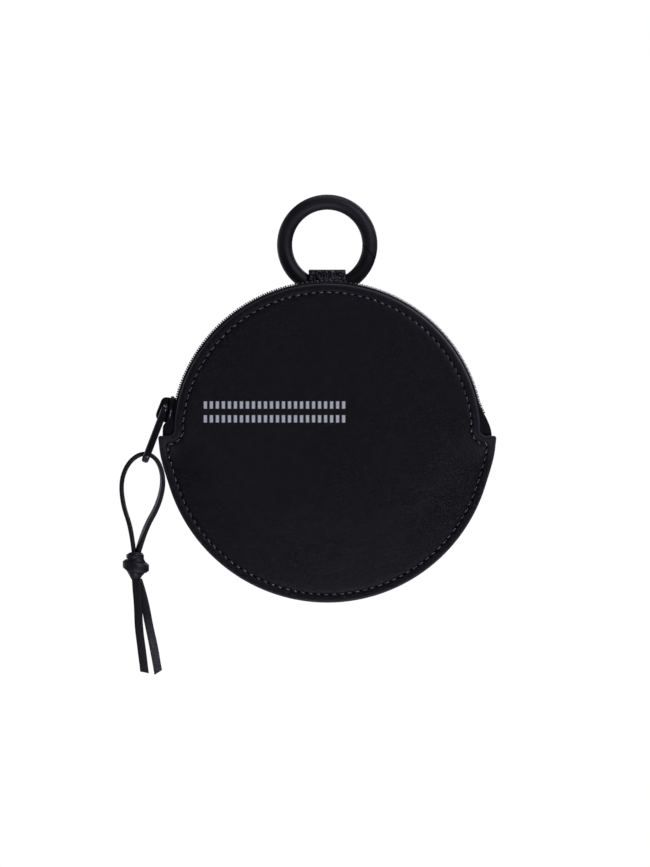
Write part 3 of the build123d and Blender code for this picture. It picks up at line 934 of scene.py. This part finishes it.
def lay_row(name, lines, piece, pitch, material, closed=False, **settings):
    """A mesh of copies of a piece along one or more lines. Settings are named after ROW_INPUTS."""
    data = bpy.data.curves.new(name, "CURVE")
    data.dimensions = "3D"
    for line in lines:
        spline = data.splines.new("POLY")
        spline.points.add(len(line) - 1)
        for point, place in zip(spline.points, line):
            point.co = (*place, 1)
        spline.use_cyclic_u = closed
    holder = bpy.data.objects.new(name, data)
    bpy.context.collection.objects.link(holder)
    modifier = holder.modifiers.new("row", "NODES")
    modifier.node_group = ROW
    given = {"Piece": piece, "Pitch": pitch * MM, "Material": material, "Spread from": (0, 0, 0),
             "Spread": (0, 0, 0), "Lean": (0, 0, 0), "Side": (0, 0, 0), "Uneven": 0.0, "Seed": 1, **settings}
    for label, value in given.items():
        modifier[ROW_SOCKETS[label]] = value
    holder.update_tag()
    bpy.context.view_layer.update()
    mesh = bpy.data.meshes.new_from_object(holder.evaluated_get(bpy.context.evaluated_depsgraph_get()))
    bpy.data.objects.remove(holder)
    row = bpy.data.objects.new(name, mesh)
    bpy.context.collection.objects.link(row)
    mesh.shade_smooth()
    paint(row, material)
    return row


def hidden_tube(name, line, radii, sides):
    """A small tube along a line in millimetres, used as the pattern for a row of pieces."""
    points = [Vector(point) * MM for point in line]
    stations = []
    for place, along, (flat, tall) in zip(points, tangents(points), radii):
        across = Vector((0, 1, 0)) if abs(along.y) < 0.9 else Vector((1, 0, 0))
        out = across.cross(along).normalized()
        across = along.cross(out).normalized()
        ring = []
        for k in range(sides):
            turn = 2 * pi * k / sides
            ring.append(place + (across * cos(turn) * flat + out * sin(turn) * tall) * MM)
        stations.append(ring)
    points, faces, _ = sweep(stations)
    return add_piece(name, points, faces, THREAD, 80)


def forget(piece):
    """Remove a pattern once its rows are laid."""
    bpy.data.objects.remove(piece)


# ---- stitching ------------------------------------------------------------------------------
THREAD_SIDES = 8
# One stitch, from the leather up over its crown and down again. The sizes are (half width, half height).
STITCH_LINE = ((-1.12, 0.16, -0.3), (-0.98, 0.14, 0.02), (-0.6, 0.08, 0.22), (0, 0, 0.28),
               (0.6, -0.08, 0.22), (0.98, -0.14, 0.02), (1.12, -0.16, -0.3))
STITCH_SIZES = ((0.16, 0.14), (0.22, 0.2), (0.28, 0.24), (0.3, 0.25), (0.28, 0.24), (0.22, 0.2), (0.16, 0.14))
stitch = hidden_tube("stitch_pattern", STITCH_LINE, STITCH_SIZES, THREAD_SIDES)
# The crown of each stitch is marked for its painted glint.
mark(stitch, "rubbed_share", [1 - step(0.1, 0.8, abs(point.co.x) / MM) for point in stitch.data.vertices])


def seam_line(side):
    """The line of the stitches on a panel, all round it, in metres."""
    sunk = leather_relief(SEAM_INSET)
    line = inset_points(PANEL_LOOP, SEAM_INSET)
    return [at(x, side * (half_depth(x, z) + sunk), z) for x, z in line]


front_stitches = lay_row("front_stitching", [seam_line(FRONT)], stitch, STITCH_PITCH, THREAD, closed=True,
                         Lean=(0, -1, 0), Uneven=0.09)
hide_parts("front_seam_stitches", "rim_stitches")
folds_open(front_stitches)
back_stitches = lay_row("back_stitching", [seam_line(BACK)], stitch, STITCH_PITCH, THREAD, closed=True,
                        Lean=(0, 1, 0), Uneven=0.09, Seed=2)
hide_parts("back_seam_stitches")
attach(back_stitches, "shell")


def needle_hole_shade():
    """Painted shade in the needle hole between one stitch and the next: a dark matte mark."""
    f = Finish("needle_hole_shade")
    base = f.colour(f.noise(900.0), (0.0008, 0.0008, 0.001), (0.002, 0.002, 0.0024))
    return f.done(Base_Color=base, Roughness=0.85 + f.noise(2000.0) * 0.1, Specular_IOR_Level=0.05)


NEEDLE_HOLE_SHADE = needle_hole_shade()
# Each needle hole is drawn as a thin dark disc at a stitch's end, as painted shade.
HOLE_LINE = ((1.06, 0, 0.05), (1.18, 0, 0.13), (1.4, 0, 0.14), (1.62, 0, 0.13), (1.74, 0, 0.05))
HOLE_SIZES = ((0.12, 0.02), (0.28, 0.05), (0.34, 0.06), (0.28, 0.05), (0.12, 0.02))
hole = hidden_tube("hole_pattern", HOLE_LINE, HOLE_SIZES, THREAD_SIDES)
front_holes = lay_row("front_needle_holes", [seam_line(FRONT)], hole, STITCH_PITCH, NEEDLE_HOLE_SHADE, closed=True,
                      Lean=(0, -1, 0))
folds_open(front_holes)
back_holes = lay_row("back_needle_holes", [seam_line(BACK)], hole, STITCH_PITCH, NEEDLE_HOLE_SHADE, closed=True,
                     Lean=(0, 1, 0))
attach(back_holes, "shell")
forget(hole)


# ---- zip ------------------------------------------------------------------------------------
RIGHT_FLARE = 3.2
LEFT_FLARE = 3.3


def zip_line(first, last, count):
    """The middle of the zip: round the body, then turned outwards into the notches at its ends."""
    line = []
    for k in range(count + 1):
        angle = radians(first + (last - first) * k / count)
        x, z = ZIP_R * cos(angle), ZIP_R * sin(angle)
        if x > 0:
            x += (1 - step(0.5, 13.5, z)) * RIGHT_FLARE
        else:
            x -= (1 - step(3.6, 8.2, z)) * LEFT_FLARE
        line.append((x, z))
    return line


TAPE_THICK = 0.36
TAPE_EDGE = 0.85
TAPE_END_EDGE = 0.1
TAPE_RINGS = 220
TAPE_OVERHANG = 2.6
TAPE_ROLL = 1.2
TAPE_TAIL = 4.6
ROLL_STEPS = 4


def zip_tape(name, side):
    """A woven tape: flat beside the coil, then rolled down between the leather and the lining."""
    line = zip_line(-TAPE_OVERHANG, 180 + TAPE_OVERHANG, TAPE_RINGS)
    stations = []
    for index, (x, z) in enumerate(line):
        before = line[max(index - 1, 0)]
        after = line[min(index + 1, TAPE_RINGS)]
        ahead = Vector((after[0] - before[0], after[1] - before[1])).normalized()
        out = Vector((ahead.y, -ahead.x))
        edge = TAPE_END_EDGE + (TAPE_EDGE - TAPE_END_EDGE) * step(4.0, 10.0, z)
        reach = half_depth(x * PANEL_R / ZIP_R, z) - LEATHER - 0.25
        reach = max(reach, edge + 0.5)
        roll = min(TAPE_ROLL, reach - edge - 0.1)
        path = [(edge, 0.0), (edge + (reach - roll - edge) * 0.5, 0.06), (reach - roll, 0.0)]
        for k in range(1, ROLL_STEPS + 1):
            turn = k * pi / 2 / ROLL_STEPS
            path.append((reach - roll + roll * sin(turn), -roll + roll * cos(turn)))
        path += [(reach + 0.02, -roll - 1.2), (reach + 0.02, -TAPE_TAIL)]
        half = TAPE_THICK / 2
        ring = []
        for across, rise in path:
            ring.append((across, rise + half) if rise > -roll else (across + half, rise))
        for across, rise in reversed(path):
            ring.append((across, rise - half) if rise > -roll else (across - half, rise))
        stations.append([at(x + out.x * rise, side * across, z + out.y * rise) for across, rise in ring])
    points, faces, uv = sweep(stations)
    piece = add_piece(name, points, faces, TAPE_CLOTH, 60, uv)
    return piece


front_tape = zip_tape("front_zip_tape_cloth", FRONT)
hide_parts("front_zip_tape")
folds_open(front_tape)
back_tape = zip_tape("back_zip_tape_cloth", BACK)
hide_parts("back_zip_tape")
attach(back_tape, "shell")


# One turn of the coil, as (across, out of the zip) pairs: a head past the middle, and two legs.
COIL_LINE = ((2.35, -0.5), (1.4, -0.56), (0.5, -0.5), (-0.1, -0.3), (-0.28, 0.0), (-0.1, 0.34),
             (0.5, 0.56), (1.4, 0.62), (2.35, 0.55))
COIL_SIZES = ((0.24, 0.16), (0.3, 0.24), (0.32, 0.26), (0.36, 0.28), (0.42, 0.3), (0.36, 0.28),
              (0.32, 0.26), (0.3, 0.24), (0.24, 0.16))
COIL_SIDES = 7
COIL_START = 9.0
COIL_END = 171.2
COIL_SPANS = 300


def coil(name, side, shift):
    """One side of the coil along the zip, between its stops. shift moves it by part of a turn."""
    pitch_angle = degrees(TOOTH_PITCH / ZIP_R)
    first = COIL_START + shift * pitch_angle
    count = int((COIL_END - first) / pitch_angle)
    last = first + count * pitch_angle
    line = [at(x, 0, z) for x, z in zip_line(first, last, COIL_SPANS)]
    pattern = hidden_tube("coil_pattern", [(0, side * y, z) for y, z in COIL_LINE], COIL_SIZES, COIL_SIDES)
    fan = {"Spread from": tuple(CENTRE), "Spread": (1, 0, 1)}
    piece = lay_row(name, [line], pattern, TOOTH_PITCH, NYLON, **fan)
    forget(pattern)
    return piece


front_coil = coil("front_zip_coil", FRONT, 0.0)
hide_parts("front_teeth")
folds_open(front_coil)
back_coil = coil("back_zip_coil", BACK, 0.5)
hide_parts("back_teeth")
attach(back_coil, "shell")

# ---- hanger tab -----------------------------------------------------------------------------
TAB_PRESSED = 0.3
TAB_ANCHOR_Z = 34.6
TAB_BEND_Z = 55.7
TAB_RISE = 3.5
TAB_OUTER_Y = 8.07  # the middle of the outer layer, where the strap lies doubled on the body
TAB_OVER_STEPS = 14
TAB_UP_STEPS = 16
TAB_FLAT_STEPS = 10
TAB_SEAM_X = TAB_WIDTH / 2 - 2.4
TAB_STITCH_PITCH = 2.4


def tab_line():
    """The middle of the strap, as (y, z) pairs: up the back panel, over the ring, and down behind."""
    front_y = TAB_FRONT_Y + TAB / 2
    back_y = 2 * RING_Y - front_y
    over = []
    for k in range(TAB_OVER_STEPS + 1):
        turn = k * pi / TAB_OVER_STEPS
        over.append((RING_Y - (RING_Y - front_y) * cos(turn), TAB_BEND_Z + TAB_RISE * sin(turn)))
    height = TAB_BEND_Z - TAB_ANCHOR_Z
    up = [(front_y, TAB_ANCHOR_Z + height * k / TAB_UP_STEPS) for k in range(TAB_UP_STEPS)]
    behind = ((back_y, TAB_BEND_Z), (back_y, 52.4), (11.6, 49.4), (TAB_OUTER_Y, 46.9), (TAB_OUTER_Y, 42.5),
              (TAB_OUTER_Y, TAB_ANCHOR_Z))
    route = [at(0, y, z) for y, z in behind]
    down = [(point - CENTRE) / MM for point in spline_points(route, 10)[1:]]
    line = up + over + [(point.y, point.z) for point in down]
    return [(y - TAB_PRESSED * (1 - step(44.0, 51.0, z)), z) for y, z in line]


def tab_relief(x):
    """How far the strap's face is drawn in beside its stitches."""
    return -0.16 * bell(abs(x) - TAB_SEAM_X, 0.4)


def make_tab():
    """The strap that holds the ring, creased beside its stitches."""
    line = [at(0, y, z) for y, z in tab_line()]
    section = rounded_section(TAB_WIDTH, TAB, 0.35, 3)
    half = TAB_WIDTH / 2 - 0.4
    flat = [half - 2 * half * k / TAB_FLAT_STEPS for k in range(TAB_FLAT_STEPS + 1)]
    corner = len(section) // 4
    top = [(x, TAB / 2 + tab_relief(x)) for x in flat]
    bottom = [(x, -TAB / 2) for x in reversed(flat)]
    upper = section[:corner] + top[1:-1]
    lower = section[corner:3 * corner] + bottom[1:-1]
    profile = upper + lower + section[3 * corner:]
    stations = []
    edges = []
    for place, along in zip(line, tangents(line)):
        out = Vector((1, 0, 0)).cross(along).normalized()
        ring = []
        for across, rise in profile:
            ring.append(place + (Vector((across, 0, 0)) - out * rise) * MM)
            edges.append(step(TAB_WIDTH / 2 - 0.5, TAB_WIDTH / 2 - 0.1, abs(across)))
        stations.append(ring)
    points, faces, uv = sweep(stations)
    piece = add_piece("hanger_tab_strap", points, faces, TAB_LEATHER, 60, uv)
    mark(piece, "edge_share", edges)
    return piece


tab_strap = make_tab()
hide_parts("hanger_tab_loop", "hanger_tab_anchor")


def bends_with_tab(piece):
    """Bakes the piece's placement into its mesh. It is not bent where the strap leaves the body."""
    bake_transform(piece)


def tab_seams():
    """The two lines of stitches along the strap's face."""
    middle = [at(0, y, z) for y, z in tab_line()]
    lines = []
    for seam_x in (-TAB_SEAM_X, TAB_SEAM_X):
        line = []
        for place, along in zip(middle, tangents(middle)):
            out = along.cross(Vector((1, 0, 0))).normalized()
            line.append(place + Vector((seam_x * MM, 0, 0)) + out * (TAB / 2 - 0.12) * MM)
        lines.append(line)
    return lines


bends_with_tab(tab_strap)
tab_stitches = lay_row("hanger_tab_stitching", tab_seams(), stitch, TAB_STITCH_PITCH, THREAD,
                       Side=(1, 0, 0), Uneven=0.08, Seed=3)
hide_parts("hanger_tab_stitches")
bends_with_tab(tab_stitches)
forget(stitch)

# ---- print ----------------------------------------------------------------------------------
MARK = (1.15, 2.6)
MARK_PITCH = 2.1
MARK_THICK = 0.04
MARK_ROWS = (11.4, 6.5)
MARK_SPAN = (-43.2, 5.8)
MARK_STEPS = 60
MARK_PROUD = 0.2


def print_marks():
    """Two rows of plain, evenly spaced bars on the front panel."""
    corners = ((-1, -1), (1, -1), (1, 1), (-1, 1))
    face = [Vector((x * MARK[0] / 2, y * MARK[1] / 2, 0)) * MM for x, y in corners]
    low = [point - Vector((0, 0, MARK_THICK * MM)) for point in face]
    faces = [(0, 1, 2, 3), (7, 6, 5, 4), (0, 4, 5, 1), (1, 5, 6, 2), (2, 6, 7, 3), (3, 7, 4, 0)]
    pattern = add_piece("mark_pattern", face + low, faces, INK, 30)
    lines = []
    for z in MARK_ROWS:
        first, last = MARK_SPAN
        span = [first + (last - first) * k / MARK_STEPS for k in range(MARK_STEPS + 1)]
        lines.append([at(x, -half_depth(x, z) - MARK_PROUD, z) for x in span])
    piece = lay_row("printed_marks", lines, pattern, MARK_PITCH, INK, Lean=(0, -1, 0))
    forget(pattern)
    return piece


marks = print_marks()
folds_open(marks)

# ---- slider ---------------------------------------------------------------------------------
SLIDER_ANGLE = radians(10.0)
SLIDER_OUT = Vector((-cos(SLIDER_ANGLE), 0, sin(SLIDER_ANGLE)))
SLIDER_CLOSING = Vector((-sin(SLIDER_ANGLE), 0, -cos(SLIDER_ANGLE)))
SLIDER_NARROW = 3.1
SLIDER_WIDE = 4.2
SLIDER_LENGTH = 4.8
SLIDER_TAPER = (0.2, 2.6)  # where the sides begin and end their slope
SLIDER_RIM = 0.55
PLATE_IN = 0.95
PLATE_OUT = 2.1
PLATE_BEVEL = 0.32
TAPE_SLOT = 0.26  # half the slot that the tape leaves by
CROWN_HALF = 1.25


def slider_point(across, closing, out):
    """A point of the slider: across the purse, along the zip as it closes, and out of the zip."""
    return CENTRE + (Vector((0, across, 0)) + SLIDER_CLOSING * closing + SLIDER_OUT * (ZIP_R + out)) * MM


def smooth_loop(corners, rounds, count=5):
    """A closed outline of pairs with each corner rounded."""
    loop = []
    for k, corner in enumerate(corners):
        before = Vector(corners[k - 1]) - Vector(corner)
        after = Vector(corners[(k + 1) % len(corners)]) - Vector(corner)
        first = Vector(corner) + before.normalized() * min(rounds[k], before.length * 0.48)
        last = Vector(corner) + after.normalized() * min(rounds[k], after.length * 0.48)
        for n in range(count + 1):
            share = n / count
            loop.append(first * (1 - share) ** 2 + Vector(corner) * 2 * share * (1 - share) + last * share**2)
    return loop


def cast_block(loop, low, high, bevel, place):
    """Stations of a block with softened rims: an outline carried from low to high."""
    middle = sum(loop, Vector((0, 0))) / len(loop)
    stations = []
    for height, inset in ((low, bevel), (low + bevel * 0.3, bevel * 0.35), (low + bevel, 0.0),
                          (high - bevel, 0.0), (high - bevel * 0.3, bevel * 0.35), (high, bevel)):
        ring = []
        for point in loop:
            away = point - middle
            ring.append(place(middle + away * (1 - inset / away.length), height))
        stations.append(ring)
    return sweep(stations)


def slider_plan(narrow, wide):
    """The slider's outline from outside: narrow where the zip is closed behind it, wide ahead."""
    ahead = SLIDER_LENGTH + 0.8
    start, end = SLIDER_TAPER
    half = [(narrow, -SLIDER_LENGTH), (narrow, start), (wide, end), (wide, ahead)]
    corners = half + [(-y, closing) for y, closing in reversed(half)]
    return smooth_loop(corners, (1.0, 1.5, 1.2, 1.3, 1.3, 1.2, 1.5, 1.0))


def slider_rim():
    """The outline of one side's turned-in rim, which keeps the teeth in the slider."""
    narrow = SLIDER_NARROW - 0.1
    wide = SLIDER_WIDE - 0.1
    start, end = SLIDER_TAPER
    outer = [(narrow, -SLIDER_LENGTH + 0.4), (narrow, start), (wide, end), (wide, SLIDER_LENGTH + 0.4)]
    return outer + [(y - SLIDER_RIM, closing) for y, closing in reversed(outer)]


def make_slider():
    """Two cast plates joined by a post, under a crown that the pull hangs in."""
    def flat(point, height):
        return slider_point(point.x, point.y, height)

    def upright(point, height):
        return slider_point(height, point.y, point.x)

    crown = smooth_loop(((1.7, -4.2), (5.1, -4.0), (6.5, 2.9), (5.5, 4.5), (1.7, 5.0)),
                        (0.3, 1.6, 1.3, 1.1, 0.3))
    post = smooth_loop(((0.35, 2.0), (0.9, 5.3), (-0.9, 5.3), (-0.35, 2.0)), (0.3, 0.3, 0.3, 0.3))
    over = slider_plan(SLIDER_NARROW, SLIDER_WIDE)
    under = slider_plan(SLIDER_NARROW - 0.4, SLIDER_WIDE - 0.4)
    plates = [
        cast_block(over, PLATE_IN, PLATE_OUT, PLATE_BEVEL, flat),
        cast_block(under, -PLATE_OUT, -PLATE_IN, PLATE_BEVEL, flat),
        cast_block(post, -1.1, 1.1, 0.05, flat),
    ]
    for side in (-1, 1):
        rim = [(side * y, closing) for y, closing in slider_rim()]
        for low, high in ((TAPE_SLOT, 1.2), (-1.2, -TAPE_SLOT)):
            stations = [[slider_point(y, closing, height) for y, closing in rim] for height in (low, high)]
            plates.append(sweep(stations))
    body = joined("slider_plates", plates, HARDWARE, 35)
    top = joined("slider_crown", [cast_block(crown, -CROWN_HALF, CROWN_HALF, 0.4, upright)], HARDWARE, 35)
    return body, top


slider_plates, slider_crown = make_slider()
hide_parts("slider_body")
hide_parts("slider_bridge")
for piece in (slider_plates, slider_crown):
    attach(piece, "slider")


# ---- the gate's tongue, a dark sheet of painted shade in its seam ---------------------------
TONGUE_HALF = 2.45
TONGUE_THICK = 0.18
TONGUE_SIDES = 32


def seam_shade_tongue():
    """The gate's flat tongue: a thin sheet in the seam between the ring and its gate, turned dark by the
    seam's painted shade, so that it stands for the shade in the gap.
    """
    start = ring_point(RING_INNER_R, SEAM_IN_ANGLE)
    end = ring_point(RING_OUTER_R, SEAM_OUT_ANGLE)
    along = (end - start).normalized()
    normal = along.cross(Vector((0, 1, 0)))
    middle = (start + end) / 2
    reach = (end - start).length / 2
    stations = []
    for side in (-1, 1):
        ring = []
        for k in range(TONGUE_SIDES):
            turn = 2 * pi * k / TONGUE_SIDES
            rise = Vector((0, sin(turn) * TONGUE_HALF * MM, 0))
            away = normal * (side * TONGUE_THICK / 2 * MM)
            ring.append(middle + along * cos(turn) * (reach - 0.3 * MM) + rise + away)
        stations.append(ring)
    points, faces, _ = sweep(stations)
    piece = add_piece("gate_seam_tongue", points, faces, SOFT_TOUCH, 30)
    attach(piece, "ring")


seam_shade_tongue()

# ---- pieces that keep their own shape -------------------------------------------------------
KEPT_SHAPES = {
    "ring_body": SOFT_TOUCH,
    "gate_arm": SOFT_TOUCH,
    "gate_pin": HARDWARE,
    "gate_spring": STEEL,
    "puller_loop": HARDWARE,
    "back_top_stop": HARDWARE,
    "front_top_stop": HARDWARE,
    "bottom_stop": HARDWARE,
}
for node, finish in KEPT_SHAPES.items():
    paint(frame["nodes"][node], finish)


# ---- floor and light ------------------------------------------------------------------------
FLOOR_HALF = 6.0
FLOOR_DROP = 1.0
PAPER_GLOW = 0.85
ROOM_LIGHT = 0.025
ROOM_SEEN = 0.985
# Name, place from the middle of the body, size, and power of each soft box, in metres and watts.
LIGHTS = (
    ("key_right", (0.85, -1.2, 0.75), (0.5, 0.6), 8.2),
    ("fill_left", (-1.3, -0.75, 0.3), (0.4, 1.0), 0.9),
    ("low_front", (0.15, -1.0, -0.9), (0.9, 0.25), 5.2),
    ("top", (0.1, 0.15, 1.4), (1.2, 0.4), 5),
    ("side_right", (1.6, 0.05, 0.45), (0.4, 0.9), 1.8),
    ("side_left", (-1.6, 0.05, 0.35), (0.4, 0.9), 0.9),
    ("back_right", (0.8, 1.25, 0.75), (0.8, 0.9), 7.5),
    ("back_left", (-1.1, 0.9, 0.1), (0.6, 1.3), 4.5),
)


def floor_paper():
    """Pale matte paper. It looks evenly lit, but throws back only the light that falls on it."""
    f = Finish("floor_paper")
    base = f.colour(f.noise(3.0), (0.86, 0.86, 0.87), (0.9, 0.9, 0.9))
    matte = f.node("ShaderNodeBsdfDiffuse", {}, {"Color": base})["BSDF"]
    lit = f.node("ShaderNodeEmission", {}, {"Color": base, "Strength": PAPER_GLOW})["Emission"]
    seen = f.node("ShaderNodeLightPath")["Is Camera Ray"]
    mixed = f.node("ShaderNodeMixShader", {}, {0: seen * PAPER_GLOW, 1: matte, 2: lit})["Shader"]
    f.node("ShaderNodeOutputMaterial", {}, {"Surface": mixed})
    return f.material


def make_stage():
    """A wide pale floor under the purse, and a white room round it."""
    material = floor_paper()
    z = CENTRE.z - FLOOR_DROP
    corners = [(x * FLOOR_HALF, y * FLOOR_HALF, z) for x, y in ((-1, -1), (1, -1), (1, 1), (-1, 1))]
    mesh = bpy.data.meshes.new("floor")
    mesh.from_pydata(corners, [], [(0, 1, 2, 3)])
    floor = bpy.data.objects.new("floor", mesh)
    bpy.context.collection.objects.link(floor)
    paint(floor, material)
    world = bpy.data.worlds.new("studio")
    bpy.context.scene.world = world
    world.use_nodes = True
    world.node_tree.nodes.clear()
    room = Tree(world.node_tree)
    seen = room.node("ShaderNodeLightPath")["Is Camera Ray"]
    strength = ROOM_LIGHT + seen * ROOM_SEEN
    light = room.node("ShaderNodeBackground", {}, {"Color": (1, 1, 1, 1), "Strength": strength})["Background"]
    room.node("ShaderNodeOutputWorld", {}, {"Surface": light})


make_stage()
for light in LIGHTS:
    area_light(*light)
bpy.context.scene.view_settings.view_transform = "Standard"
